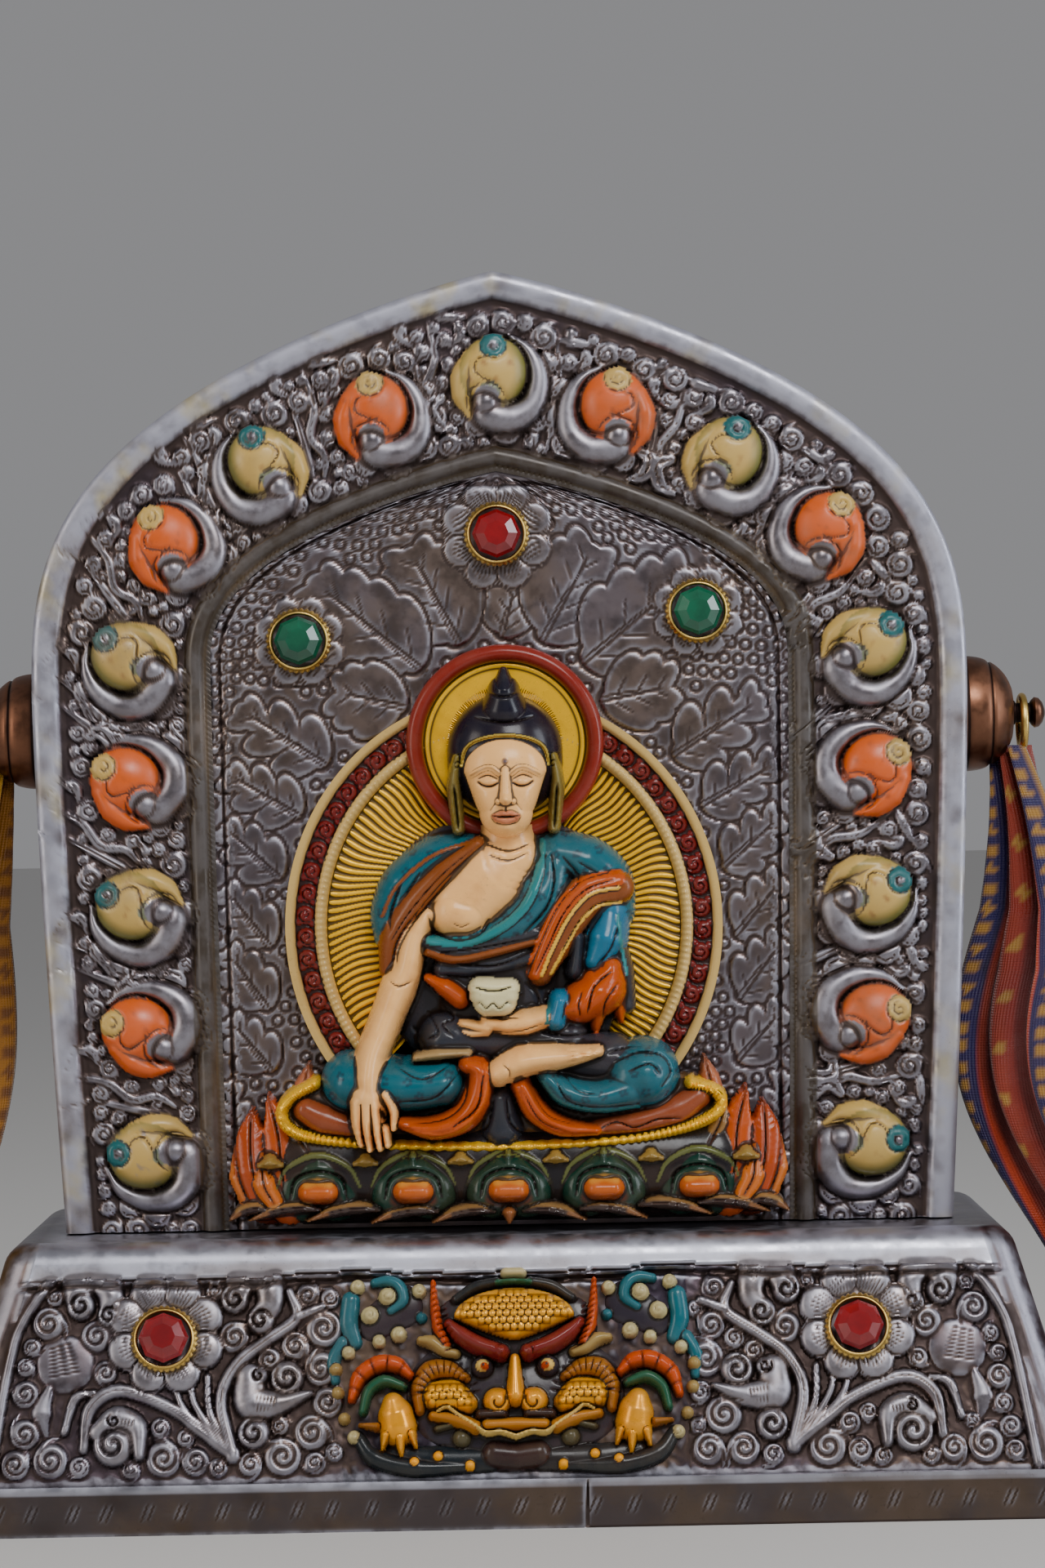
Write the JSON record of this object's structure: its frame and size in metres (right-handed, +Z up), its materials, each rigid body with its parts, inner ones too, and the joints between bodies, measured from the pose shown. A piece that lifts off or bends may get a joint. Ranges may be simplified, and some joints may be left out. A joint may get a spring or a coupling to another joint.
{
  "type": "amulet box on stand",
  "caption": "Arched metal amulet box with a worked front, conch border, set stones and a seated figure in relief, on a sloping stand with a horned mask.",
  "frame": {"origin": "middle of the stand's foot, on the surface that it stands on", "axes": "+Z up, the worked front faces -Y, +X to the right as seen from the front"},
  "size_m": [0.2144, 0.0898, 0.1975],
  "materials": {
    "cover_silver": "worn chased silver, dark in its recesses",
    "case_copper": "dark toned copper sheet",
    "relief_paint": "gilt and painted relief under aged varnish",
    "stand_silver": "worn chased silver, burnished on its edges",
    "band_silver": "engraved strip with tarnish",
    "bezel_brass": "worn brass",
    "red_stone": "polished, faceted",
    "green_stone": "polished, faceted",
    "boss_copper": "dark turned copper",
    "ring_brass": "worn brass wire",
    "brocade": "silk brocade with gold thread"
  },
  "bodies": {
    "root": {"front_cover": "cover_silver", "case": "case_copper", "seated_figure_relief": "relief_paint", "stand": "stand_silver", "plinth_band": "band_silver", "bezel_top": "bezel_brass", "bezel_left": "bezel_brass", "bezel_right": "bezel_brass", "bezel_stand_left": "bezel_brass", "bezel_stand_right": "bezel_brass", "stone_top": "red_stone", "stone_left": "green_stone", "stone_right": "green_stone", "stone_stand_left": "red_stone", "stone_stand_right": "red_stone", "side_boss_left": "boss_copper", "side_boss_right": "boss_copper", "ring_left": "ring_brass", "ring_right": "ring_brass", "streamer_left": "brocade", "streamer_right": "brocade"}
  },
  "joints": []
}
